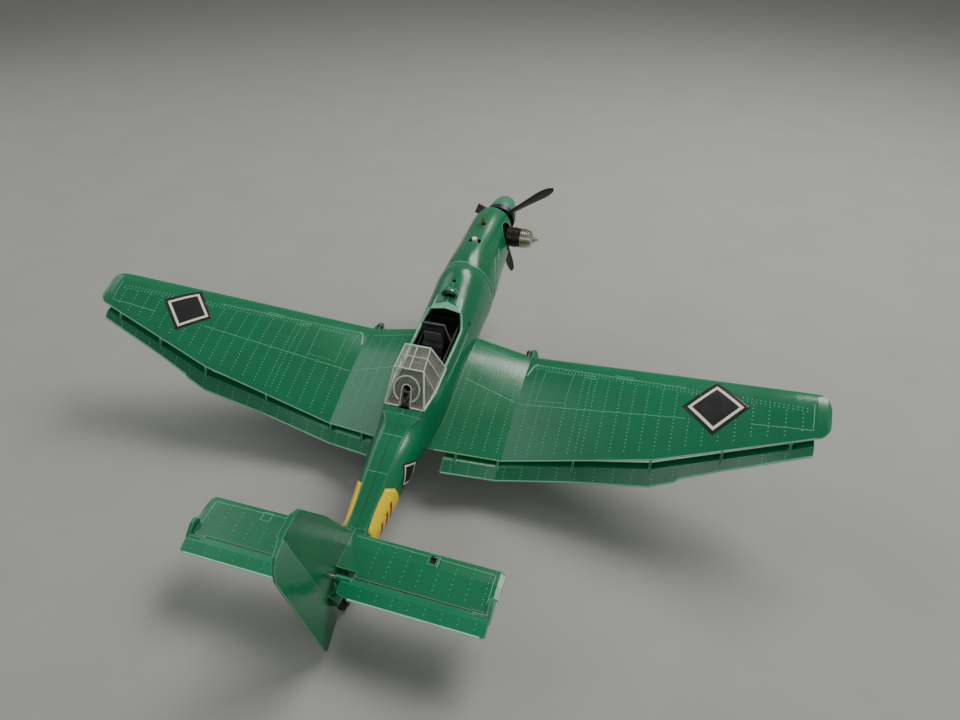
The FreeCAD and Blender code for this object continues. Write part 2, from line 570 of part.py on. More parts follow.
def make_glow_head():
    """Finned head with the plug in its middle."""
    head = [cylinder(7.2, (30.0, CYLINDER_Y, THRUST_Z), (1, 0, 0), 9.4)]
    for i, radius in enumerate((8.8, 8.7, 8.5, 8.0)):
        head.append(cylinder(radius, (30.6 + 1.9 * i, CYLINDER_Y, THRUST_Z), (1, 0, 0), 1.0))
    head = fuse(head).cut(cylinder(6.4, (29.0, CYLINDER_Y, THRUST_Z), (1, 0, 0), 5.0))
    taper = Part.makeCone(6.0, 3.4, 1.6, V(39.4, CYLINDER_Y, THRUST_Z), V(1, 0, 0))
    nodes["glow_head"] = fuse([head, taper])
    hexagon = []
    for i in range(6):
        angle = math.radians(60 * i)
        hexagon.append((41.0, CYLINDER_Y + 2.5 * math.cos(angle), THRUST_Z + 2.5 * math.sin(angle)))
    plug = polygon_face(hexagon).extrude(V(1.8, 0, 0))
    post = cylinder(1.0, (42.8, CYLINDER_Y, THRUST_Z), (1, 0, 0), 2.6)
    nodes["glow_plug"] = fuse([plug, post])


def make_piston_and_rod():
    top, skirt = 27.0, 18.0
    piston = cylinder(BORE_RADIUS - RUN, (skirt, CYLINDER_Y, THRUST_Z), (1, 0, 0), top - skirt)
    hollow = cylinder(3.9, (skirt - 1, CYLINDER_Y, THRUST_Z), (1, 0, 0), top - skirt - 1.0)
    nodes["piston"] = piston.cut(hollow)
    crankpin_x = THRUST_X + STROKE_HALF
    big_end = cylinder(2.6, (crankpin_x, CYLINDER_Y - 1.2, THRUST_Z), (0, 1, 0), 2.4)
    ball = Part.makeSphere(2.2, V(22.8, CYLINDER_Y, THRUST_Z))
    shank = cylinder(1.1, (crankpin_x + 1.8, CYLINDER_Y, THRUST_Z), (1, 0, 0), 13.8)
    eye = cylinder(1.5, (crankpin_x, CYLINDER_Y - 3, THRUST_Z), (0, 1, 0), 6)
    nodes["connecting_rod"] = fuse([big_end, ball, shank]).cut(eye)


def make_crankshaft():
    """Shaft, web and crankpin; the pin stops just short of the rod's eye."""
    shaft = cylinder(3.0, (THRUST_X, 178.5, THRUST_Z), (0, 1, 0), PROP_Y + 2.4 - 178.5)
    web = cylinder(6.6, (THRUST_X, 178.9, THRUST_Z), (0, 1, 0), 2.0)
    pin = cylinder(1.4, (THRUST_X + STROKE_HALF, CYLINDER_Y + 1.2 + GAP, THRUST_Z), (0, 1, 0), 1.2)
    shaft = fuse([shaft, web, pin])
    nodes["crankshaft"] = shaft.cut(cylinder(1.2, (THRUST_X, 190, THRUST_Z), (0, 1, 0), 20))
    plate = cylinder(7.2, (THRUST_X, 195.6, THRUST_Z), (0, 1, 0), 2.2)
    nodes["drive_plate"] = plate.cut(cylinder(3.0, (THRUST_X, 195, THRUST_Z), (0, 1, 0), 4))


def make_tank():
    radius = 11.6
    back, front = 145.4, CRANKCASE_BACK - 0.2
    tank = cylinder(radius, (THRUST_X, back, THRUST_Z), (0, 1, 0), front - back)
    tank = tank.cut(cylinder(radius - 0.9, (THRUST_X, back - 1, THRUST_Z), (0, 1, 0), front - back))
    tube_hole = cylinder(1.6, (0, FILLER_Y, THRUST_Z), (0, 0, 1), 30)
    nodes["fuel_tank"] = tank.cut(tube_hole)
    tube = cylinder(1.6, (0, FILLER_Y, THRUST_Z + 9.4), (0, 0, 1), 16.8)
    nodes["filler_tube"] = tube.cut(cylinder(0.9, (0, FILLER_Y, THRUST_Z), (0, 0, 1), 40))
    plate = cylinder(radius + 0.4, (THRUST_X, 141.0, THRUST_Z), (0, 1, 0), 4.2)
    neck = cylinder(4.2, (THRUST_X, 135.4, THRUST_Z), (0, 1, 0), 6.0)
    stem = cylinder(2.2, (0, NEEDLE_Y, THRUST_Z), (0, 0, 1), 12.0)
    body = fuse([plate, neck, stem])
    needle_bore = cylinder(0.8 + RUN, (0, NEEDLE_Y, THRUST_Z), (0, 0, 1), 30)
    nodes["tank_back"] = body.cut(needle_bore)


def make_needle():
    """Needle valve: a steel stem with a round knob that stands through the cowl slot."""
    stem = cylinder(0.8, (0, NEEDLE_Y, THRUST_Z + 1.0), (0, 0, 1), 20.6)
    nodes["needle_stem"] = stem
    knob_base = THRUST_Z + 17.4
    knob = cylinder(2.3, (0, NEEDLE_Y, knob_base), (0, 0, 1), 8.2)
    knob = knob.makeFillet(0.7, [e for e in knob.Edges if e.CenterOfMass.z > knob_base + 8.1])
    nodes["needle_knob"] = knob.cut(cylinder(0.8, (0, NEEDLE_Y, THRUST_Z), (0, 0, 1), 21.6))


def make_bulkhead():
    plate = oval_plate(COWL, 131.0, 135.2, WALL + 0.1)
    screws = []
    for x, z in ((-9, -9), (9, -9), (-9, 9), (9, 9)):
        hole = cylinder(1.3, (x, 128, THRUST_Z + z), (0, 1, 0), 10)
        plate = plate.cut(hole)
        shank = cylinder(1.25, (x, 129.8, THRUST_Z + z), (0, 1, 0), 5.0)
        screws.append(shank.fuse(cylinder(2.3, (x, 129.2, THRUST_Z + z), (0, 1, 0), 1.6)))
    nodes["engine_bulkhead"] = plate
    nodes["mount_screws"] = Part.makeCompound(screws)


# ---- propeller ----------------------------------------------------------------------------------
def blade_section(radius, chord, thickness, pitch):
    curve = Part.Ellipse(V(0, 0, 0), chord / 2, thickness / 2).toShape()
    curve.rotate(V(0, 0, 0), V(0, 0, 1), pitch)
    curve.rotate(V(0, 0, 0), V(0, 1, 0), 90)
    curve.translate(V(radius, 0, 0))
    return Part.Wire(curve)


def blade():
    """One twisted blade along +X, about the propeller axis through the origin."""
    root, full_width, count = 9.0, 0.72, 15
    wires = []
    for i in range(count):
        share = math.sin(math.pi / 2 * i / (count - 1))
        chord = 8.4 + 3.2 * min(1.0, share / full_width) ** 1.3
        if share > full_width:
            chord *= math.sqrt(max(0.02, 1 - ((share - full_width) / (1 - full_width)) ** 2))
        radius = root + (PROP_RADIUS - root) * share
        wires.append(blade_section(radius, chord, 3.4 - 2.4 * share, 38.0 * share ** 0.6 - 60.0))
    return Part.makeLoft(wires, True, True).mirror(V(0, 0, 0), V(0, 0, 1))


def make_propeller():
    pieces = [cylinder(14.2, (THRUST_X, 198.4, THRUST_Z), (0, 1, 0), 5.0)]
    for number, angle in enumerate(BLADE_ANGLES):
        piece = blade()
        if number == 2:
            piece = piece.common(box(0, STUB_RADIUS, -20, 20, -20, 20))
        piece.rotate(V(0, 0, 0), V(0, 1, 0), -angle)
        piece.translate(V(THRUST_X, PROP_Y, THRUST_Z))
        pieces.append(piece)
    prop = pieces[0]
    for piece in pieces[1:]:
        prop = prop.fuse(piece)
    prop = prop.cut(cylinder(3.0, (THRUST_X, 190, THRUST_Z), (0, 1, 0), PROP_Y + 2.4 - 190))
    seat = cylinder(SPINNER_RADIUS + 0.3, (THRUST_X, 203.4, THRUST_Z), (0, 1, 0), 4.0)
    prop = prop.cut(seat)
    nodes["propeller"] = prop.cut(cylinder(1.2, (THRUST_X, 190, THRUST_Z), (0, 1, 0), 20))


def ogive(radius, base_y, tip_y):
    """Rounded cone made by turning half an ellipse-like curve about the thrust axis."""
    points = []
    for i in range(9):
        angle = math.pi / 2 * i / 8
        reach = math.cos(angle) ** 0.92
        out = radius * reach if i < 8 else 0
        along = base_y + (tip_y - base_y) * math.sin(angle) ** 1.15
        points.append(V(THRUST_X + out, along, THRUST_Z))
    curve = Part.BSplineCurve()
    curve.interpolate(points)
    base = V(THRUST_X, base_y, THRUST_Z)
    wire = Part.Wire([curve.toShape(), Part.makeLine(points[-1], base), Part.makeLine(base, points[0])])
    return Part.Face(wire).revolve(V(THRUST_X, 0, THRUST_Z), V(0, 1, 0), 360)


def make_spinner():
    base_y = 203.7
    outer = ogive(SPINNER_RADIUS, base_y, SPINNER_TIP_Y)
    inner = ogive(SPINNER_RADIUS - SKIN, base_y, SPINNER_TIP_Y - 2.0)
    nodes["spinner"] = outer.cut(inner)
    head = cylinder(2.6, (THRUST_X, 203.4, THRUST_Z), (0, 1, 0), 2.0)
    shank = cylinder(1.2, (THRUST_X, 191.0, THRUST_Z), (0, 1, 0), 12.4)
    nodes["propeller_screw"] = head.fuse(shank)


# ---- controls -----------------------------------------------------------------------------------
def make_bellcrank():
    z = BELLCRANK_Z
    plate = polygon_face([(3.6, BELLCRANK_Y - LINE_ARM - 3, z), (3.6, BELLCRANK_Y + LINE_ARM + 3, z),
                          (-3.0, BELLCRANK_Y + LINE_ARM + 3, z), (PUSHROD_X - 3.4, BELLCRANK_Y + 2.6, z),
                          (PUSHROD_X - 3.4, BELLCRANK_Y - 2.6, z),
                          (-3.0, BELLCRANK_Y - LINE_ARM - 3, z)]).extrude(V(0, 0, 1.8))
    plate = plate.cut(cylinder(1.5 + RUN, (0, BELLCRANK_Y, z - 1), (0, 0, 1), 4))
    for offset in (-LINE_ARM, LINE_ARM):
        plate = plate.cut(cylinder(1.0, (0, BELLCRANK_Y + offset, z - 1), (0, 0, 1), 4))
    plate = plate.cut(cylinder(1.0 + RUN, (PUSHROD_X, BELLCRANK_Y, z - 1), (0, 0, 1), 4))
    nodes["bellcrank"] = plate
    post = cylinder(1.5, (0, BELLCRANK_Y, -67.0), (0, 0, 1), z + 3.4 + 67.0)
    collar = cylinder(3.2, (0, BELLCRANK_Y, -60.0), (0, 0, 1), z - 0.2 + 60.0)
    cap = cylinder(2.6, (0, BELLCRANK_Y, z + 2.0), (0, 0, 1), 1.4)
    nodes["bellcrank_post"] = fuse([post, collar, cap])


def make_pushrod():
    """Straight wire with an up-turned end at the bellcrank and a cross pin at the elevator horn."""
    horn_z = ELEVATOR_AXIS_Z - ELEVATOR_HORN
    front = V(PUSHROD_X, BELLCRANK_Y, BELLCRANK_Z - 2.6)
    back = V(PUSHROD_X - 3.2, ELEVATOR_AXIS_Y, horn_z)
    run = back - front
    wire = Part.makeCylinder(0.8, run.Length, front, run)
    up_turn = Part.makeCylinder(1.0, 6.2, V(front.x, front.y, front.z - 0.8), V(0, 0, 1))
    cross_pin = Part.makeCylinder(0.8, 6.2, V(back.x - 0.8, back.y, back.z), V(1, 0, 0))
    nodes["pushrod"] = fuse([wire, up_turn, cross_pin])


# ---- cockpit ------------------------------------------------------------------------------------
def make_cockpit():
    """Black one-piece insert: side walls, roll-over frame, seat backs and ribbed panels."""
    front, back, floor = 59.0, -31.0, -41.0
    tub = box(-13.0, 13.0, back, front, floor, SILL_Z - 1.2)
    tub = tub.cut(box(-11.6, 11.6, back + 1.4, front - 1.4, floor + 1.6, 0))
    hoop = polygon_face([(-12.0, 33.6, -24.0), (-8.6, 33.6, -4.0), (8.6, 33.6, -4.0),
                         (12.0, 33.6, -24.0)]).extrude(V(0, 2.2, 0))
    hoop = hoop.fuse(box(-12.0, 12.0, 33.6, 35.8, floor + 0.5, -22.0))
    rest_side = [(33.8, -7.0), (33.8, floor + 1), (14.0, floor + 1), (14.0, -27.0), (22.0, -25.5),
                 (25.0, -18.6), (31.4, -17.0), (31.4, -7.0)]
    back_rest = polygon_face([(-7.8, y, z) for y, z in rest_side]).extrude(V(15.6, 0, 0))
    seat = box(-9.0, 9.0, 40.0, 52.0, floor + 1, -31.0)
    pieces = [tub, hoop, back_rest, seat]
    for i in range(4):
        slat_z = -9.4 - 2.2 * i
        pieces.append(box(-6.8, 6.8, 30.0, 31.8, slat_z - 1.2, slat_z))
    pieces.append(box(-10.5, 10.5, -4.0, 8.0, floor + 1, -29.5))
    pieces.append(box(-11.7, 11.7, 9.0, 11.0, floor + 1, -22.0))
    nodes["cockpit_insert"] = fuse(pieces)
    pivot = cylinder(1.6, (0, -18.0, floor + 1.7), (0, 0, 1), 17.0)
    barrel = cylinder(1.3, (0, -14.0, -22.5), (0, -0.95, 0.30), 20.0)
    nodes["gun_mount"] = fuse([pivot, barrel])


def canopy_solid(inset):
    """Faceted rear canopy as a closed solid, drawn inset from its outside."""
    low, extra = SILL_Z + (0.1 if not inset else -3.0), (6.0 if inset else 0.0)
    front_top = V(9.7 - 0.7 * inset, 4.4 + extra, 3.5 - inset)
    front_low = V(17.2 - inset, 7.6 + extra, low)
    rear_top = V(10.9 - 0.9 * inset, -14.8 + 0.6 * inset, 0.6 - inset)
    side_low = V(17.2 - inset, -15.6 + 0.3 * inset, low)
    rear_low = V(14.6 - inset, -32.6 + 1.2 * inset, low)
    right = [front_top, front_low, side_low, rear_low, rear_top]
    left = [V(-p.x, p.y, p.z) for p in right]
    ft, fl, sl, rl, rt = right
    mft, mfl, msl, mrl, mrt = left
    faces = [(ft, fl, sl), (ft, sl, rt), (rt, sl, rl), (mft, msl, mfl), (mft, mrt, msl),
             (mrt, mrl, msl), (ft, rt, mrt), (ft, mrt, mft), (rt, rl, mrl), (rt, mrl, mrt),
             (ft, mft, mfl), (ft, mfl, fl), (fl, mfl, msl), (fl, msl, sl), (sl, msl, mrl),
             (sl, mrl, rl)]
    shell = Part.Shell([Part.Face(Part.makePolygon([a, b, c, a])) for a, b, c in faces])
    solid = Part.Solid(shell)
    if solid.Volume < 0:
        solid.reverse()
    return solid


def make_canopy():
    shell = canopy_solid(0.0).cut(canopy_solid(1.0))
    slot_top = V(0, -24.5, -8.5)
    out = V(0, -0.74, 0.67)
    arch = Part.makeCylinder(2.9, 16, slot_top - out * 8, out)
    gate = box(-2.9, 2.9, -42, slot_top.y, SILL_Z - 1, slot_top.z)
    nodes["rear_canopy"] = shell.cut(arch).cut(gate)


# ---- assembly -----------------------------------------------------------------------------------
def place_and_export():
    """Tip the model onto its wheels, centre it over the origin and write one file per node."""
    whole = FreeCAD.BoundBox()
    for shape in nodes.values():
        shape.rotate(V(0, 0, 0), V(1, 0, 0), SIT_ANGLE)
        whole.add(shape.optimalBoundingBox(False, False))
    shift = V(-(whole.XMin + whole.XMax) / 2, -(whole.YMin + whole.YMax) / 2, -whole.ZMin)
    for name, shape in nodes.items():
        shape.translate(shift)
        shape.exportStep("parts/" + name + ".step")
        print(name, "solids", len(shape.Solids), "valid", shape.isValid(),
              "volume %.0f" % shape.Volume)
    print("shift %.4f %.4f %.4f" % tuple(shift))
    print("size %.1f %.1f %.1f" % (whole.XLength, whole.YLength, whole.ZLength))


def main():
    joiner_slot = make_joiner()
    stabilisers = make_tail()
    fuselage = make_fuselage(stabilisers, joiner_slot)
    make_cowl()
    solid_wing = make_wing(fuselage, joiner_slot)
    make_flaps(solid_wing)
    make_fin(stabilisers)
    make_spats(solid_wing)
    make_wheels()
    make_siren_caps(solid_wing)
    make_tail_wheel(fuselage)
    make_crankcase()
    make_cylinder()
    make_glow_head()
    make_piston_and_rod()
    make_crankshaft()
    make_tank()
    make_needle()
    make_bulkhead()
    make_propeller()
    make_spinner()
    make_bellcrank()
    make_pushrod()
    make_cockpit()
    make_canopy()
    place_and_export()


main()
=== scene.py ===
"""Looks of the tethered warbird model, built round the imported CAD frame."""
import json
import math

import bmesh
import bpy
from mathutils import Matrix, Vector
from mathutils.bvhtree import BVHTree


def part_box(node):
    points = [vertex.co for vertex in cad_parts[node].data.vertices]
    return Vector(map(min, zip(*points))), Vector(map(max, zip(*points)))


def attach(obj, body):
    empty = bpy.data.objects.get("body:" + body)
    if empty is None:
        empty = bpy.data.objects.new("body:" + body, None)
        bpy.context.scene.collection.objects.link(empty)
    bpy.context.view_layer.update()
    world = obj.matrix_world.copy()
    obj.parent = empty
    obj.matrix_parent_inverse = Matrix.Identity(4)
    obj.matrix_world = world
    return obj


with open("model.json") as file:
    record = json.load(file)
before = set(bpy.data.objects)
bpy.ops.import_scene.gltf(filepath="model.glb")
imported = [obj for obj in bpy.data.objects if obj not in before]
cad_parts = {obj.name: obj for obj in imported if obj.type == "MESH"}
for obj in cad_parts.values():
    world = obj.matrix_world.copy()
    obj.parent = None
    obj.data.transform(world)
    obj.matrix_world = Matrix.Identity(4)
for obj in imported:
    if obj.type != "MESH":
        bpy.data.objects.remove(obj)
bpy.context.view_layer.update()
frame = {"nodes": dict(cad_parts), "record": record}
nodes = frame["nodes"]

# ---- design frame: millimetres, +X right wing, +Y nose, +Z up, before the tail sits down ---------
MM = 0.001
SITTING_ANGLE = 12.75           # degrees nose-up with the tail wheel on the floor
TILT = Matrix.Rotation(math.radians(SITTING_ANGLE), 3, "X")
HUB_LOW, HUB_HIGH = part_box("wheel_hub_right")
HUB_CENTRE = Vector((0.0, 0.060, -0.1025))
DATUM = (HUB_LOW + HUB_HIGH) / 2 - TILT @ HUB_CENTRE
DATUM.x = 0.0
DOWN, INWARD = (0, 0, -1), (-1, 0, 0)
RAY = 60                        # rays start this far off the centre planes


def at(x, y, z):
    """A design point in metres in the row frame."""
    return TILT @ (Vector((x, y, z)) * MM) + DATUM


# ---- materials ----------------------------------------------------------------------------------
def material(name, colour, rough, second=None, spread=0.5, scale=60.0, metallic=0.0, coat=0.0,
             bump=0.05, grain=900.0, edge=None, highlight_size=0.0007, highlight_power=5.0, alpha=1.0,
             rough_spread=0.12):
    """Procedural surface: clouded colour, clouded roughness, fine grain, and a painted highlight
    along edges.
    """
    made = bpy.data.materials.new(name)
    made.use_nodes = True
    tree = made.node_tree
    shader = tree.nodes["Principled BSDF"]
    link = tree.links.new
    place = tree.nodes.new("ShaderNodeTexCoord")

    def noise(size, detail):
        node = tree.nodes.new("ShaderNodeTexNoise")
        node.inputs["Scale"].default_value = size
        node.inputs["Detail"].default_value = detail
        link(place.outputs["Object"], node.inputs["Vector"])
        return node.outputs["Fac"]

    ramp = tree.nodes.new("ShaderNodeValToRGB")
    other = second or [c * 0.82 for c in colour]
    ramp.color_ramp.elements[0].position = 0.5 - spread / 2
    ramp.color_ramp.elements[0].color = (*other, 1)
    ramp.color_ramp.elements[1].position = 0.5 + spread / 2
    ramp.color_ramp.elements[1].color = (*colour, 1)
    link(noise(scale, 4.0), ramp.inputs["Fac"])
    shade = ramp.outputs["Color"]
    # painted highlight: the edge colour is mixed in where the bevelled normal turns away, standing
    # in for light caught on edges
    if edge:
        soft = tree.nodes.new("ShaderNodeBevel")
        soft.samples = 6
        soft.inputs["Radius"].default_value = highlight_size
        hard = tree.nodes.new("ShaderNodeNewGeometry")
        dot = tree.nodes.new("ShaderNodeVectorMath")
        dot.operation = "DOT_PRODUCT"
        link(soft.outputs["Normal"], dot.inputs[0])
        link(hard.outputs["Normal"], dot.inputs[1])
        turn = tree.nodes.new("ShaderNodeMapRange")
        turn.inputs["From Min"].default_value = 1.0
        turn.inputs["From Max"].default_value = 1.0 - 1.0 / highlight_power
        turn.inputs["To Max"].default_value = 0.85
        link(dot.outputs["Value"], turn.inputs["Value"])
        mix = tree.nodes.new("ShaderNodeMix")
        mix.data_type = "RGBA"
        link(turn.outputs["Result"], mix.inputs["Factor"])
        link(shade, mix.inputs["A"])
        mix.inputs["B"].default_value = (*edge, 1)
        shade = mix.outputs["Result"]
    link(shade, shader.inputs["Base Color"])
    gloss = tree.nodes.new("ShaderNodeMapRange")
    gloss.inputs["To Min"].default_value = max(0.02, rough - rough_spread)
    gloss.inputs["To Max"].default_value = min(1.0, rough + rough_spread)
    link(noise(scale * 1.7, 5.0), gloss.inputs["Value"])
    link(gloss.outputs["Result"], shader.inputs["Roughness"])
    shader.inputs["Metallic"].default_value = metallic
    shader.inputs["Coat Weight"].default_value = coat
    shader.inputs["Coat Roughness"].default_value = 0.18
    shader.inputs["Alpha"].default_value = alpha
    lump = tree.nodes.new("ShaderNodeBump")
    lump.inputs["Strength"].default_value = bump
    lump.inputs["Distance"].default_value = 0.0004
    link(noise(grain, 2.0), lump.inputs["Height"])
    link(lump.outputs["Normal"], shader.inputs["Normal"])
    return made


# pale mint painted along the edges of the green parts as an edge highlight
EDGE_HIGHLIGHT_MINT = (0.30, 0.66, 0.46)
GREEN = material("green_plastic", (0.003, 0.178, 0.068), 0.25, (0.002, 0.135, 0.050), 0.55, 26.0,
                 coat=0.25, bump=0.04, grain=500.0, edge=EDGE_HIGHLIGHT_MINT, highlight_size=0.0009, highlight_power=2.2)
GREEN_PALE = material("green_tail", (0.008, 0.225, 0.095), 0.26, (0.005, 0.180, 0.075), 0.55, 30.0,
                      coat=0.25, bump=0.04, grain=500.0, edge=EDGE_HIGHLIGHT_MINT, highlight_power=2.2)
GREEN_SPINNER = material("green_spinner", (0.045, 0.250, 0.115), 0.38, (0.035, 0.210, 0.095), 0.5,
                         40.0, coat=0.2, bump=0.04)
# pale mint on the windscreen deck, and painted highlight on the crank steps, cockpit rails, cowl
# lip, cowl side glint and flap trailing-edge beads
DECK_AND_HIGHLIGHT_MINT = material("deck_and_highlight_mint", (0.170, 0.520, 0.330), 0.34, (0.110, 0.430, 0.255), 0.6, 55.0,
                     coat=0.2, bump=0.05, edge=(0.45, 0.80, 0.62), highlight_power=2.0)
# paler green on rivets, panel-line ribs, ledge lines, the cowl panel rib and wing trailing-edge
# beads: painted highlight on raised mouldings
RAISED_HIGHLIGHT_GREEN = material("raised_highlight_green", (0.200, 0.560, 0.360), 0.34, (0.140, 0.480, 0.290), 0.5, 80.0)
# very pale mint on the elevator trailing-edge beads: painted highlight
BEAD_HIGHLIGHT_MINT = material("bead_highlight_mint", (0.420, 0.780, 0.600), 0.34, (0.300, 0.660, 0.470), 0.5, 70.0)
BLACK = material("black_plastic", (0.010, 0.010, 0.011), 0.36, (0.018, 0.018, 0.020), 0.6, 70.0,
                 bump=0.05, edge=(0.05, 0.05, 0.055), highlight_power=1.6)
BLACK_SATIN = material("black_satin", (0.014, 0.014, 0.014), 0.42, (0.022, 0.021, 0.020), 0.6, 60.0,
                       bump=0.08, edge=(0.10, 0.10, 0.10), highlight_power=1.8)
SLAT = material("slat_grey", (0.120, 0.125, 0.125), 0.45, (0.080, 0.082, 0.082), 0.6, 120.0)
RUBBER = material("tyre_rubber", (0.016, 0.016, 0.015), 0.72, (0.026, 0.025, 0.023), 0.6, 120.0,
                  bump=0.2, grain=1800.0)
BLACK_ALLOY = material("black_alloy", (0.022, 0.021, 0.020), 0.34, (0.040, 0.038, 0.034), 0.6,
                       140.0, metallic=0.75, bump=0.08, edge=(0.22, 0.21, 0.19), highlight_power=1.6)
BRIGHT_ALLOY = material("bright_alloy", (0.66, 0.63, 0.52), 0.24, (0.40, 0.37, 0.28), 0.6, 180.0,
                        metallic=0.9, bump=0.08)
STEEL = material("steel", (0.50, 0.50, 0.49), 0.28, (0.34, 0.33, 0.31), 0.6, 220.0, metallic=1.0)
BRASS = material("brass", (0.60, 0.36, 0.11), 0.30, (0.36, 0.18, 0.05), 0.6, 200.0, metallic=1.0)
CREAM = material("cream_plastic", (0.80, 0.78, 0.62), 0.34, (0.68, 0.64, 0.47), 0.5, 160.0)
FRAME_CREAM = material("canopy_edge", (0.70, 0.74, 0.60), 0.30, (0.50, 0.56, 0.43), 0.6, 90.0,
                       coat=0.4)
DECAL_BLACK = material("decal_black", (0.006, 0.006, 0.006), 0.34, (0.014, 0.014, 0.013), 0.6, 70.0,
                       coat=0.3, bump=0.12, grain=300.0)
DECAL_WHITE = material("decal_white", (0.74, 0.72, 0.52), 0.42, (0.80, 0.80, 0.72), 0.6, 60.0)
DECAL_YELLOW = material("decal_yellow", (0.93, 0.74, 0.010), 0.36, (0.86, 0.58, 0.008), 0.5, 45.0,
                        coat=0.3, bump=0.10, grain=260.0)
DECAL_RED = material("decal_red", (0.42, 0.030, 0.015), 0.42, (0.30, 0.018, 0.010), 0.5, 60.0)
SEAM = material("seam_shadow", (0.004, 0.050, 0.024), 0.6, (0.002, 0.030, 0.014), 0.5, 90.0)
CLEAR = material("clear_plastic", (0.80, 0.84, 0.68), 0.10, (0.70, 0.76, 0.58), 0.6, 50.0,
                 alpha=0.13, bump=0.03, edge=(0.92, 0.94, 0.80), highlight_size=0.0012,
                 highlight_power=1.5, rough_spread=0.05)

LOOKS = {"green_plastic": GREEN, "black_plastic": BLACK, "clear_plastic": CLEAR,
         "black_alloy": BLACK_ALLOY, "bright_alloy": BRIGHT_ALLOY, "steel": STEEL, "brass": BRASS,
         "cream_plastic": CREAM, "tyre_rubber": RUBBER}
SPECIAL = {"spinner": GREEN_SPINNER, "elevator_left": GREEN_PALE, "elevator_right": GREEN_PALE,
           "cockpit_insert": BLACK_SATIN, "siren_cap_left": BLACK_SATIN,
           "siren_cap_right": BLACK_SATIN, "gun_mount": BLACK_SATIN}
slot_of = {row["node"]: row["material_slot"] for row in frame["record"]["subparts"]}
for name, part in nodes.items():
    part.data.materials.clear()
    part.data.materials.append(SPECIAL.get(name) or LOOKS[slot_of[name]])


# ---- mesh helpers -------------------------------------------------------------------------------
def surface(*names):
    """One ray-cast tree over some CAD nodes."""
    points, faces = [], []
    for name in names:
        mesh = nodes[name].data
        base = len(points)
        points += [v.co.copy() for v in mesh.vertices]
        faces += [[base + i for i in p.vertices] for p in mesh.polygons]
    return BVHTree.FromPolygons(points, faces)


def land(tree, x, y, z, direction):
    """Where a ray from a design point meets the tree: (place, outward normal), or None."""
    heading = TILT @ Vector(direction)
    place, normal, _, _ = tree.ray_cast(at(x, y, z), heading)
    if place is None:
        return None
    if normal.dot(heading) > 0:
        normal = -normal
    return place, normal


def piece(name, points, faces, look, body, indices=None, looks=(), smooth=True):
    """Mesh object riding a body, with an optional look index for each face."""
    mesh = bpy.data.meshes.new(name)
    mesh.from_pydata([tuple(p) for p in points], [], faces)
    mesh.validate()
    made = bpy.data.objects.new(name, mesh)
    bpy.context.scene.collection.objects.link(made)
    for each in (look, *looks):
        mesh.materials.append(each)
    if indices:
        for polygon, index in zip(mesh.polygons, indices):
            polygon.material_index = index
    mesh.polygons.foreach_set("use_smooth", [smooth] * len(mesh.polygons))
    work = bmesh.new()
    work.from_mesh(mesh)
    bmesh.ops.recalc_face_normals(work, faces=work.faces)
    work.to_mesh(mesh)
    work.free()
    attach(made, body)
    return made


def domes(name, spots, look, body, radius=0.36, height=0.16, sides=8):
    """Small raised rivet heads on (place, normal) spots."""
    points, faces = [], []
    for place, normal in spots:
        side = normal.orthogonal().normalized()
        across = normal.cross(side)
        base = len(points)
        for share, lift in ((1.0, -0.05), (0.72, 0.72), (0.0, 1.0)):
            for i in range(sides if share else 1):
                turn = 2 * math.pi * i / sides
                ring = side * math.cos(turn) + across * math.sin(turn)
                points.append(place + ring * radius * share * MM + normal * height * lift * MM)
        for i in range(sides):
            j = (i + 1) % sides
            faces.append((base + i, base + j, base + sides + j, base + sides + i))
            faces.append((base + sides + i, base + sides + j, base + 2 * sides))
        faces.append(tuple(base + i for i in reversed(range(sides))))
    return piece(name, points, faces, look, body)


def ribs(name, lines, look, body, width=0.4, height=0.14):
    """Low rounded mouldings along lines of (place, normal)."""
    points, faces = [], []
    shape = ((-0.5, -0.6), (-0.42, 0.55), (0.0, 1.0), (0.42, 0.55), (0.5, -0.6))
    for line in lines:
        base, count = len(points), len(line)
        for i, (place, normal) in enumerate(line):
            before = line[i - 1][0] if i else place
            after = line[i + 1][0] if i < count - 1 else place
            side = (after - before).cross(normal).normalized()
            for across, lift in shape:
                points.append(place + side * across * width * MM + normal * lift * height * MM)
        size = len(shape)
        for i in range(count - 1):
            a, b = base + i * size, base + (i + 1) * size
            for k in range(size):
                m = (k + 1) % size
                faces.append((a + k, a + m, b + m, b + k))
        faces.append(tuple(base + k for k in range(size)))
        last = base + (count - 1) * size
        faces.append(tuple(last + k for k in reversed(range(size))))
    return piece(name, points, faces, look, body)


def path(tree, corners, direction, start, step=2.0):
    """Points every few millimetres along straight runs, dropped on the tree.

    corners are design points of two numbers: (x, y) seen from above, or (y, z) from a side.
    """
    line = []
    for (a0, b0), (a1, b1) in zip(corners, corners[1:]):
        count = max(1, round(math.hypot(a1 - a0, b1 - b0) / step))
        for i in range(count + 1):
            if line and i == 0:
                continue
            a, b = a0 + (a1 - a0) * i / count, b0 + (b1 - b0) * i / count
            spot = (a, b, start) if direction in (DOWN, (0, 0, 1)) else (start, a, b)
            found = land(tree, *spot, direction)
            if found:
                line.append(found)
    return line


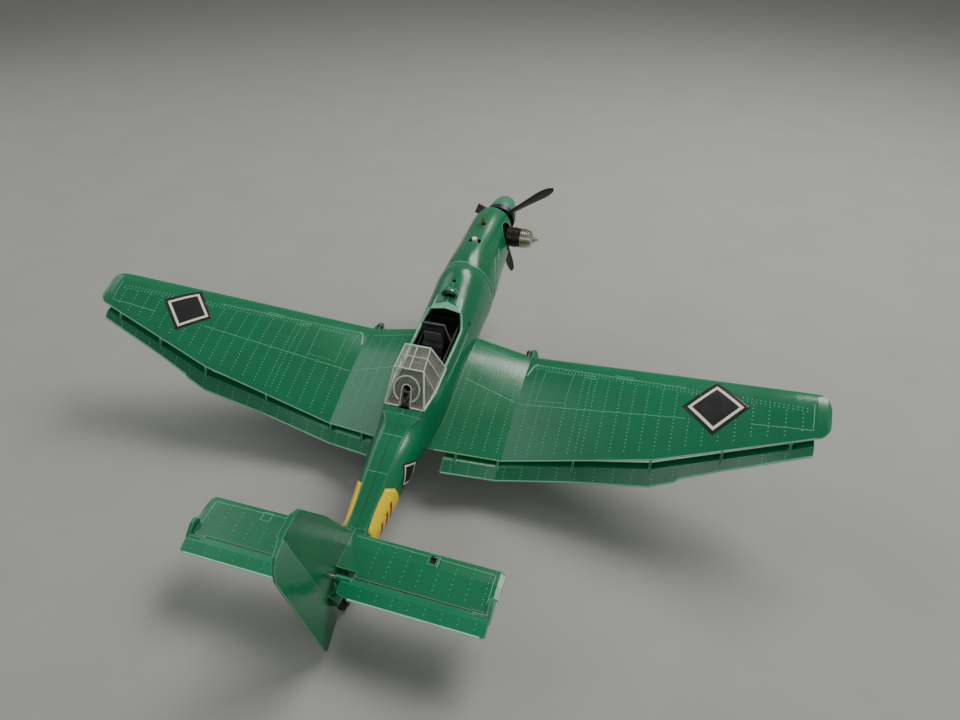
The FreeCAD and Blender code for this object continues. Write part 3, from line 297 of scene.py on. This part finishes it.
def disc_patch(name, outline, levels, tree, direction, start, body, looks, lift=0.07):
    """A thin sticker laid on a surface: rings of a star-shaped outline, each with its own look.

    levels are (share of the outline, look index) from the middle out.
    """
    centre_a = sum(p[0] for p in outline) / len(outline)
    centre_b = sum(p[1] for p in outline) / len(outline)
    count = len(outline)
    top, faces, indices, normals = [], [], [], []
    for share, _ in levels:
        for a, b in outline:
            u, v = centre_a + (a - centre_a) * share, centre_b + (b - centre_b) * share
            spot = (u, v, start) if direction == DOWN else (start, u, v)
            found = land(tree, *spot, direction)
            if not found:
                raise ValueError(name + " leaves the surface")
            top.append(found[0] + found[1] * lift * MM)
            normals.append(found[1])
    for ring in range(len(levels) - 1):
        for i in range(count):
            j = (i + 1) % count
            a, b = ring * count, (ring + 1) * count
            faces.append((a + i, a + j, b + j, b + i))
            indices.append(levels[ring + 1][1])
    faces.append(tuple(range(count)))
    indices.append(levels[0][1])
    edge = (len(levels) - 1) * count
    base = len(top)
    top += [top[edge + i] - normals[edge + i] * 2 * lift * MM for i in range(count)]
    for i in range(count):
        j = (i + 1) % count
        faces.append((edge + i, edge + j, base + j, base + i))
        indices.append(levels[-1][1])
    return piece(name, top, faces, looks[0], body, indices, looks[1:])


def polygon_outline(corners, step=1.2):
    """Corner list resampled into short, even steps."""
    made = []
    for (a0, b0), (a1, b1) in zip(corners, corners[1:] + corners[:1]):
        count = max(1, round(math.hypot(a1 - a0, b1 - b0) / step))
        made += [(a0 + (a1 - a0) * i / count, b0 + (b1 - b0) * i / count) for i in range(count)]
    return made


def ring_levels(plain, bands, steps=9):
    """Even shares from the middle to 1; bands are (from, to, look index) over a plain look."""
    even = {i / steps for i in range(1, steps + 1)}
    shares = sorted({0.06} | even | {b for band in bands for b in band[:2]})
    levels = []
    for share in shares:
        look = plain
        for low, high, index in bands:
            if low < share <= high:
                look = index
        levels.append((share, look))
    return levels


def tree_of(made):
    """Ray-cast tree over a piece that is already in place."""
    mesh = made.data
    return BVHTree.FromPolygons([v.co.copy() for v in mesh.vertices],
                                [list(p.vertices) for p in mesh.polygons])


def wires(name, runs, radius, look, body):
    """Round bars along runs of design points."""
    data = bpy.data.curves.new(name, "CURVE")
    data.dimensions = "3D"
    data.bevel_depth = radius * MM
    data.bevel_resolution = 3
    data.use_fill_caps = True
    for run in runs:
        spline = data.splines.new("POLY")
        spline.points.add(len(run) - 1)
        for point, corner in zip(spline.points, run):
            point.co = (*at(*corner), 1)
    data.materials.append(look)
    made = bpy.data.objects.new(name, data)
    bpy.context.scene.collection.objects.link(made)
    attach(made, body)
    return made


def blocks(name, boxes, look, body, bevel=0.25):
    """Bevelled boxes given as (x0, x1, y0, y1, z0, z1) in the design frame."""
    work = bmesh.new()
    for x0, x1, y0, y1, z0, z1 in boxes:
        corners = [work.verts.new(at(x, y, z))
                   for x in (x0, x1) for y in (y0, y1) for z in (z0, z1)]
        for quad in ((0, 1, 3, 2), (4, 6, 7, 5), (0, 4, 5, 1),
                     (2, 3, 7, 6), (0, 2, 6, 4), (1, 5, 7, 3)):
            work.faces.new([corners[i] for i in quad])
    bmesh.ops.recalc_face_normals(work, faces=work.faces)
    bmesh.ops.bevel(work, geom=list(work.edges), offset=bevel * MM, segments=2, affect="EDGES")
    points = [v.co.copy() for v in work.verts]
    work.verts.index_update()
    faces = [[v.index for v in f.verts] for f in work.faces]
    work.free()
    return piece(name, points, faces, look, body, smooth=False)


def strip(name, sections, look, body, skip=()):
    """Closed sheet through cross-sections of design points, given thickness downwards."""
    count = len(sections[0])
    points, faces = [], []
    for drop in (0.0, 0.7):
        for section in sections:
            points += [at(x, y, z - drop) for x, y, z in section]
    under = len(sections) * count
    used = {(i, k) for i in range(len(sections) - 1) for k in range(count - 1)} - set(skip)
    for i, k in sorted(used):
        a, b, c, d = i * count + k, i * count + k + 1, (i + 1) * count + k + 1, (i + 1) * count + k
        faces += [(a, b, c, d), (d + under, c + under, b + under, a + under)]
        for (di, dk), (m, n) in (((-1, 0), (a, b)), ((1, 0), (c, d)),
                                 ((0, -1), (d, a)), ((0, 1), (b, c))):
            if (i + di, k + dk) not in used:
                faces.append((n, m, m + under, n + under))
    return piece(name, points, faces, look, body, smooth=False)


def between(rows, key):
    """Row of a sorted table at any key, by straight interpolation on its first column."""
    for low, high in zip(rows, rows[1:]):
        if low[0] <= key <= high[0]:
            share = (key - low[0]) / (high[0] - low[0])
            return [a + share * (b - a) for a, b in zip(low, high)]
    raise ValueError(key)


def mirror(run):
    """The same run of design points on the other side."""
    return [(-x, y, z) for x, y, z in run]


# ---- wing details -------------------------------------------------------------------------------
CRANK = 69.0                    # where the wing turns up
PORT_X = 56.5                   # square hole in the stabiliser
STAB_TIP = 100.3
ELEVATOR_TE = -167.9
MARK_X, MARK_Y, MARK_SIZE = 205.6, 12.7, 20.6


def trailing(x):
    """Wing trailing edge in plan."""
    if x < CRANK:
        return -44.8 + 10.8 * (x - 6) / 63
    if x < 172:
        return -34 + 7.2 * (x - CRANK) / 103
    return -26.8 + 18.2 * (x - 172) / 80


def front_line(x):
    """Front rivet and panel line in plan."""
    if x < CRANK:
        return 54.0 - 4.0 * (x - 28) / 41
    return 50.0 - 0.197 * (x - CRANK)


def spar_line(x):
    """Middle panel line in plan."""
    if x < CRANK:
        return 20.0 - 8.0 * (x - 24) / 45
    return 11.5 - 0.066 * (x - CRANK)


for side, sign in (("left", -1), ("right", 1)):
    tree = surface("wing_upper_" + side)
    spots = []
    rows = [27.5 + 9.2 * i for i in range(5)] + [77.5 + 9.4 * i for i in range(20)] + [120.3]
    for x in rows:
        y = front_line(x) - 4.0
        while y > trailing(x) + 4.5:
            in_mark = abs(x - MARK_X) + abs(y - MARK_Y) < MARK_SIZE + 1.5
            in_panel = 83 < x < 107 and 12 < y < 44
            if not (in_mark or in_panel):
                found = land(tree, sign * x, y, RAY, DOWN)
                if found:
                    spots.append(found)
            y -= 2.7
    panel = polygon_outline([(84.5, 43.0), (106.5, 39.0), (105.0, 13.0), (83.0, 14.5)], 1.9)
    for x, y in panel:
        spots.append(land(tree, sign * x, y, RAY, DOWN))
    x = 76.0
    while x < 258:
        clear = abs(x - MARK_X) + abs(front_line(x) - MARK_Y) > MARK_SIZE + 1.5
        for shift in (0.0, 2.2):
            if clear:
                spots.append(land(tree, sign * x, front_line(x) - shift, RAY, DOWN))
        x += 2.6
    domes("wing_rivets_" + side, [s for s in spots if s], RAISED_HIGHLIGHT_GREEN, "airframe", 0.46,
          0.20)
    gap_out = MARK_X + MARK_SIZE + 1
    gap_in = MARK_X - MARK_SIZE + 3
    lines = [[(27, front_line(27)), (66, front_line(66))],
             [(24.5, spar_line(24.5)), (68, spar_line(68))],
             [(70, spar_line(70)), (gap_in, spar_line(gap_in))],
             [(gap_out, spar_line(gap_out)), (262, spar_line(262))],
             [(262, spar_line(262)), (262, 16)],
             [(76, front_line(76) + 1.2), (gap_in - 2, front_line(gap_in - 2) + 1.2)],
             [(114, 39.6), (123, 38.0)], [(115, 36.8), (124, 35.2)], [(137, 39.2), (150, 37.0)],
             [(137.5, 36.4), (150.5, 34.2)]]
    drawn = [path(tree, [(sign * a, b) for a, b in line], DOWN, RAY) for line in lines]
    ribs("wing_panel_lines_" + side, drawn, RAISED_HIGHLIGHT_GREEN, "airframe", 0.42, 0.13)
    # the crank step's pale mint is painted highlight on its corner
    corner = path(tree, [(sign * 77.0, 50.2), (sign * 74.6, 49.6), (sign * 72.6, 45.5),
                         (sign * 70.4, 37.5)], DOWN, RAY, 1.0)
    ribs("wing_crank_step_" + side, [corner], DECK_AND_HIGHLIGHT_MINT, "airframe", 1.3, 0.30)
    diamond = polygon_outline([(sign * MARK_X, MARK_Y + MARK_SIZE),
                               (sign * (MARK_X + MARK_SIZE), MARK_Y),
                               (sign * MARK_X, MARK_Y - MARK_SIZE),
                               (sign * (MARK_X - MARK_SIZE), MARK_Y)])
    disc_patch("wing_marking_" + side, diamond, ring_levels(0, [(0.70, 0.83, 1)], 14), tree,
               DOWN, RAY, "airframe", (DECAL_BLACK, DECAL_WHITE))

# ---- edges, flaps and tail ----------------------------------------------------------------------
WING_TE = [(21, -42.2, -52.6), (69, -34.0, -62.0), (172, -26.8, -30.6), (252, -8.6, -6.2),
           (264, -5.8, -2.5)]
FLAP_TE = [(28.8, -54.2, -61.5), (67, -46.3, -69.9), (121, -41.0, -57.4), (172, -38.6, -45.4),
           (188, -34.4, -38.9), (189.5, -33.0, -37.2), (213, -26.0, -29.0), (263.6, -14.5, -9.5)]
FLAP_TOP = [(28.5, -45.5, -54.0), (67, -38.2, -46.3), (121, -33.0, -41.0), (172, -30.2, -38.6),
            (188, -26.8, -34.4), (213, -20.6, -26.0), (264, -9.6, -14.4)]
for side, sign in (("left", -1), ("right", 1)):
    turned = (lambda run: run) if sign > 0 else mirror
    # trailing-edge beads in pale greens: painted highlight along the wing, flap and elevator edges
    wires("wing_edge_bead_" + side, [turned(WING_TE)], 0.5, RAISED_HIGHLIGHT_GREEN, "airframe")
    wires("flap_edge_bead_" + side, [turned(FLAP_TE)], 0.62, DECK_AND_HIGHLIGHT_MINT, "airframe")
    flap_tree = surface("flap_strip_" + side)
    spots = []
    for i in range(18):
        x = 35.0 + 12.6 * i
        _, front, rear = between(FLAP_TOP, x)
        for share in (0.12, 0.36, 0.60, 0.84):
            spots.append(land(flap_tree, sign * x, front + (rear - front) * share, RAY, DOWN))
    domes("flap_rivets_" + side, [s for s in spots if s], RAISED_HIGHLIGHT_GREEN, "airframe", 0.42)
    wires("elevator_edge_bead_" + side,
          [turned([(15.6, ELEVATOR_TE + 0.3, -24.5), (STAB_TIP - 4.5, ELEVATOR_TE + 0.3, -24.5)])],
          0.85, BEAD_HIGHLIGHT_MINT, "elevator")
    stab_tree = surface("stabiliser_" + side)
    blade_tree = surface("elevator_" + side)
    spots, blade_spots = [], []
    for i in range(8):
        x = 22.0 + 10.0 * i
        for k in range(7):
            y = -130.5 - 3.3 * k
            if abs(x - PORT_X) > 6 or y < -139:
                spots.append(land(stab_tree, sign * x, y, RAY, DOWN))
        for k in range(4):
            blade_spots.append(land(blade_tree, sign * x, -161.5 - 3.1 * k, RAY, DOWN))
    domes("stabiliser_rivets_" + side, [s for s in spots if s], RAISED_HIGHLIGHT_GREEN, "airframe")
    domes("elevator_rivets_" + side, [s for s in blade_spots if s], RAISED_HIGHLIGHT_GREEN, "elevator")
    lines = [[(5, -129.2), (STAB_TIP - 6, -131.2)],
             [(STAB_TIP - 5.5, -131.2), (STAB_TIP - 5.5, -149)]]
    drawn = [path(stab_tree, [(sign * a, b) for a, b in line], DOWN, RAY) for line in lines]
    if sign < 0:
        square = [(-59.6, -129.6), (-53.4, -129.6), (-53.4, -135.6), (-59.6, -135.6),
                  (-59.6, -129.6)]
        drawn.append(path(stab_tree, square, DOWN, RAY))
    ribs("stabiliser_lines_" + side, drawn, RAISED_HIGHLIGHT_GREEN, "airframe", 0.36, 0.10)
# black plate under the square port in the stabiliser: painted shade inside the hole
blocks("stabiliser_port_shade", [(53.8, 59.2, -135.4, -129.2, -26.0, -25.4)], BLACK, "airframe",
       0.1)

# ---- fuselage details ---------------------------------------------------------------------------
BODY_TREE = surface("fuselage_half_left", "fuselage_half_right", "cowl_half_left",
                    "cowl_half_right")


def height(x, y):
    """Height of the fuselage skin over a plan point."""
    found = land(BODY_TREE, x, y, RAY, DOWN)
    back = TILT.transposed() @ (found[0] - DATUM)
    return back.z / MM


def deck_section(y, half, flat_rise, side_rise):
    """Cross-section of a low deck plate: flat or gabled top with small rounded shoulders."""
    if y > 0:
        middle = height(8.6, max(y, 66.0)) + 1.6 - 0.22 * max(0.0, 66.0 - y)
    else:
        middle = height(0.4, y)
    row = []
    for share in (-1.0, -0.97, -0.88, -0.42, 0.0, 0.42, 0.88, 0.97, 1.0):
        shoulder = 0.7 if abs(share) == 1 else 0.25 if abs(share) > 0.95 else 0
        drop = side_rise * abs(share) - shoulder
        row.append((half * share, y, middle + flat_rise + (drop if share else 0.0)))
    return row


deck = []
for i in range(12):
    y = 58.6 + 2.05 * i
    deck.append(deck_section(y, 12.6 - 0.115 * (y - 58.6), 0.35, -3.0))
recess_cells = {(i, k) for i in range(4, 7) for k in (3, 4)}
strip("windscreen_deck", deck, DECK_AND_HIGHLIGHT_MINT, "airframe", recess_cells)
# the pale mint cockpit rails are painted highlight along the opening's edges
rail = [(12.7, 58.8, -13.6), (14.0, 55.6, -15.6), (15.8, 50.0, -18.8), (16.7, 45.0, -20.1),
        (16.7, 26.0, -20.2), (16.2, 8.5, -20.2)]
wires("cockpit_rails", [rail, mirror(rail)], 0.95, DECK_AND_HIGHLIGHT_MINT, "airframe")
ledge = [path(BODY_TREE, [(s * 20.4, 50.0), (s * 20.4, 24.0), (s * 19.8, 2.0)], DOWN, RAY)
         for s in (-1, 1)]
ribs("cockpit_ledge_lines", ledge, RAISED_HIGHLIGHT_GREEN, "airframe", 0.4, 0.12)
groove = [path(BODY_TREE, [(s * 19.0, 57.0), (s * 19.0, 24.0), (s * 18.4, 4.0)], DOWN, RAY)
          for s in (-1, 1)]
ribs("cockpit_ledge_shadow", groove, SEAM, "airframe", 0.9, 0.05)
# black domes in the small notch by the cockpit front: painted shade in the notch
notch = [s for s in (land(BODY_TREE, 19.4, y, RAY, DOWN) for y in (58.4, 57.0)) if s]
domes("cockpit_notch_shade", notch, BLACK, "airframe", 1.2, 0.35)

REAR_WIDTH = [(-123.0, 6.4), (-50.0, 8.8), (-46.0, 9.8), (-42.5, 12.2), (-39.0, 14.2)]
rear = []
for i in range(43):
    y = -39.0 - 2.0 * i
    rear.append(deck_section(y, between(REAR_WIDTH, y)[1], 0.30, -0.15))
rear_deck = strip("rear_deck", rear, GREEN, "airframe")
REAR_TREE = tree_of(rear_deck)
seams = [path(BODY_TREE, [(0.0, 195.0), (0.0, 141.0)], DOWN, RAY),
         path(BODY_TREE, [(0.0, 136.0), (0.0, 86.0)], DOWN, RAY),
         path(REAR_TREE, [(0.0, -40.0), (0.0, -122.5)], DOWN, RAY)]
ribs("top_seam", seams, SEAM, "airframe", 0.55, 0.06)
ribs("rear_deck_lines", [path(REAR_TREE, [(-7.4, -56.0), (7.4, -56.0)], DOWN, RAY, 1.0),
                         path(REAR_TREE, [(-6.6, -84.5), (6.6, -84.5)], DOWN, RAY, 1.0)],
     RAISED_HIGHLIGHT_GREEN, "airframe", 0.4, 0.1)


def hoop(y, first, last, middle_z=-36.0):
    """Line round the fuselage at one station, between two angles in degrees."""
    line = []
    count = round((last - first) / 5)
    for i in range(count + 1):
        turn = math.radians(first + (last - first) * i / count)
        c, s = math.cos(turn), math.sin(turn)
        found = land(BODY_TREE, RAY * c, y, middle_z + RAY * s, (-c, 0, -s))
        if found:
            line.append(found)
    return line


# pale lip over the upper half of the cowl joint: painted highlight where light falls on top; the
# dark ring below is painted shadow
ribs("cowl_joint_lip", [hoop(108.4, 0, 180)], DECK_AND_HIGHLIGHT_MINT, "airframe", 0.8, 0.28)
ribs("cowl_joint_shadow", [hoop(106.7, -70, 250)], SEAM, "airframe", 0.7, 0.06)
curved = [(134.0, -20.5), (129.0, -22.0), (122.0, -25.5), (116.0, -30.0), (112.5, -36.0),
          (111.5, -43.0)]
ribs("cowl_panel_shadow", [path(BODY_TREE, curved, INWARD, RAY, 1.5)], SEAM, "airframe",
     0.6, 0.06)
# the pale rib beside the dark cowl panel line is painted highlight
raised = [(y + 1.6, z - 1.0) for y, z in curved]
ribs("cowl_panel_edge", [path(BODY_TREE, raised, INWARD, RAY, 1.5)], RAISED_HIGHLIGHT_GREEN, "airframe",
     0.8, 0.2)
# short pale mint streak on the cowl side: painted glint
lens = [(149.0, -22.5), (144.0, -24.5), (139.0, -27.0)]
ribs("cowl_side_glint", [path(BODY_TREE, lens, INWARD, RAY, 1.0)], DECK_AND_HIGHLIGHT_MINT, "airframe",
     0.7, 0.2)

# ---- markings on the rear fuselage --------------------------------------------------------------
for side, sign in (("left", -1), ("right", 1)):
    heading = (-sign, 0, 0)
    band = polygon_outline([(-93.0, -27.6), (-122.5, -32.0), (-125.0, -35.0), (-123.5, -47.0),
                            (-94.0, -50.0), (-90.5, -47.0), (-89.5, -31.5)], 1.6)
    disc_patch("fuselage_band_" + side, band, ring_levels(0, [], 8), BODY_TREE, heading, sign * RAY,
               "airframe", (DECAL_YELLOW,), 0.2)
    strokes = ((-101.0, -39.0), (-107.5, -40.5), (-115.0, -41.5))
    for number, (y, z) in enumerate(strokes):
        lean = 2.6
        bar = polygon_outline([(y - 1.3 - lean, z - 4.6), (y + 1.3 - lean, z - 4.6),
                               (y + 1.3 + lean, z + 4.6), (y - 1.3 + lean, z + 4.6)], 0.9)
        disc_patch("fuselage_stroke_%s_%d" % (side, number + 1), bar, ring_levels(0, [], 3),
                   BODY_TREE, heading, sign * RAY, "airframe", (DECAL_RED,), 0.32)
    mark = polygon_outline([(-72.5, -27.0), (-60.5, -38.5), (-72.5, -50.0), (-84.5, -38.5)], 1.0)
    disc_patch("fuselage_marking_" + side, mark, ring_levels(0, [(0.68, 0.82, 1)], 10), BODY_TREE,
               heading, sign * RAY, "airframe", (DECAL_BLACK, DECAL_WHITE), 0.2)

# ---- canopy mouldings and cockpit ---------------------------------------------------------------
# canopy corners: front top, front low, rear top, side low, rear low
FT, FL, RT = (9.7, 4.4, 3.5), (17.2, 7.6, -20.2), (10.9, -14.8, 0.6)
SL, RL = (17.2, -15.6, -20.2), (14.6, -32.6, -20.2)


def swap(point):
    """The same design point on the other side."""
    return (-point[0], point[1], point[2])


def along(a, b, share):
    return tuple(p + (q - p) * share for p, q in zip(a, b))


thick = [[FL, FT, swap(FT), swap(FL)], [FL, SL, RL], [swap(FL), swap(SL), swap(RL)],
         [RL, RT, swap(RT), swap(RL)], [RL, (4.2, -32.6, -20.2)], [(-4.2, -32.6, -20.2), swap(RL)]]
wires("canopy_frame", thick, 0.75, FRAME_CREAM, "airframe")
rib_share = 0.46
ridge, foot = along(FT, RT, rib_share), along(FL, SL, rib_share)
thin = [[FT, RT], [swap(FT), swap(RT)], [(0, 4.4, 3.6), (0, -14.8, 0.7)], [RT, SL],
        [swap(RT), swap(SL)], [foot, ridge, swap(ridge), swap(foot)]]
wires("canopy_ribs", thin, 0.42, FRAME_CREAM, "airframe")
skirt = [(17.5, 7.0, -18.6), (17.5, -15.2, -18.6), (14.9, -31.8, -18.6)]
wires("canopy_skirt", [skirt, mirror(skirt)], 0.35, FRAME_CREAM, "airframe")
FACE_UP = Vector((0, 17.8, 21.0)).normalized()
FACE_MIDDLE = Vector((0, -14.8, 0.6)) - FACE_UP * 14.6


def on_face(radius, degrees, lift=0.1):
    """Point on the sloping rear canopy face, round the gun opening."""
    turn = math.radians(degrees)
    spot = FACE_MIDDLE + FACE_UP * radius * math.sin(turn) + Vector((radius * math.cos(turn), 0, 0))
    return tuple(spot + Vector((0, -0.763, 0.647)) * lift)


wires("canopy_gun_ring", [[on_face(9.6, -58 + 4 * i) for i in range(75)]], 0.62, FRAME_CREAM,
      "airframe")
slot_edge = ([(4.0, -31.8, -19.6)] + [on_face(3.5, 10 * i) for i in range(19)]
             + [(-4.0, -31.8, -19.6)])
wires("canopy_slot_edge", [slot_edge], 0.42, FRAME_CREAM, "airframe")
wires("cockpit_hoop_edge", [[(12.0, 34.7, -23.0), (8.6, 34.7, -4.2), (-8.6, 34.7, -4.2),
                             (-12.0, 34.7, -23.0)]], 0.55, SLAT, "airframe")
slats = [(-6.9, 6.9, 29.5, 31.6, -10.7 - 2.2 * i, -9.3 - 2.2 * i) for i in range(4)]
blocks("cockpit_slats", slats, SLAT, "airframe", 0.2)

# ---- camera, floor and lights -------------------------------------------------------------------
camera_data = bpy.data.cameras.new("camera")
camera_data.sensor_width = 36.0
camera_data.lens = 24.69
camera_data.clip_start, camera_data.clip_end = 0.01, 20.0
camera = bpy.data.objects.new("camera", camera_data)
bpy.context.scene.collection.objects.link(camera)
# view direction in degrees: swung to the right of straight behind, raised, then rolled
SWING, RAISE, ROLL = 17.446, 37.1348, -0.271
camera.rotation_mode = "QUATERNION"
camera.rotation_quaternion = (Matrix.Rotation(math.radians(SWING), 3, "Z")
                              @ Matrix.Rotation(math.radians(90 - RAISE), 3, "X")
                              @ Matrix.Rotation(math.radians(ROLL), 3, "Z")).to_quaternion()
camera.location = at(155.47, -274.53, 347.75)
bpy.context.scene.camera = camera

floor_mesh = bpy.data.meshes.new("floor")
floor_mesh.from_pydata([(-6, -4, 0), (6, -4, 0), (6, 8, 0), (-6, 8, 0)], [], [(0, 1, 2, 3)])
floor = bpy.data.objects.new("floor", floor_mesh)
bpy.context.scene.collection.objects.link(floor)
floor_look = material("floor", (0.36, 0.36, 0.335), 0.85, (0.33, 0.33, 0.31), 0.6, 14.0,
                      bump=0.03, grain=120.0)
floor_mesh.materials.append(floor_look)


def area_light(name, place, target, size, power, colour):
    """Rectangular light aimed at a point."""
    data = bpy.data.lights.new(name, "AREA")
    data.shape = "RECTANGLE"
    data.size, data.size_y = size
    data.energy = power
    data.color = colour
    light = bpy.data.objects.new(name, data)
    bpy.context.scene.collection.objects.link(light)
    light.location = place
    aim = Vector(target) - Vector(place)
    light.rotation_mode = "QUATERNION"
    light.rotation_quaternion = aim.to_track_quat("-Z", "Y")


area_light("key", (0.55, 0.70, 1.35), (0, 0, 0.05), (1.0, 0.7), 21.0, (1.0, 0.98, 0.95))
area_light("fill", (-1.3, 0.1, 1.0), (0, 0, 0.05), (1.2, 1.2), 6.0, (0.93, 0.97, 1.0))
area_light("rim", (0.3, -1.5, 0.9), (0, 0, 0.05), (1.4, 0.7), 4.0, (1.0, 1.0, 1.0))
world = bpy.data.worlds.new("world")
world.use_nodes = True
world.node_tree.nodes["Background"].inputs["Color"].default_value = (0.80, 0.82, 0.84, 1)
world.node_tree.nodes["Background"].inputs["Strength"].default_value = 0.33
bpy.context.scene.world = world
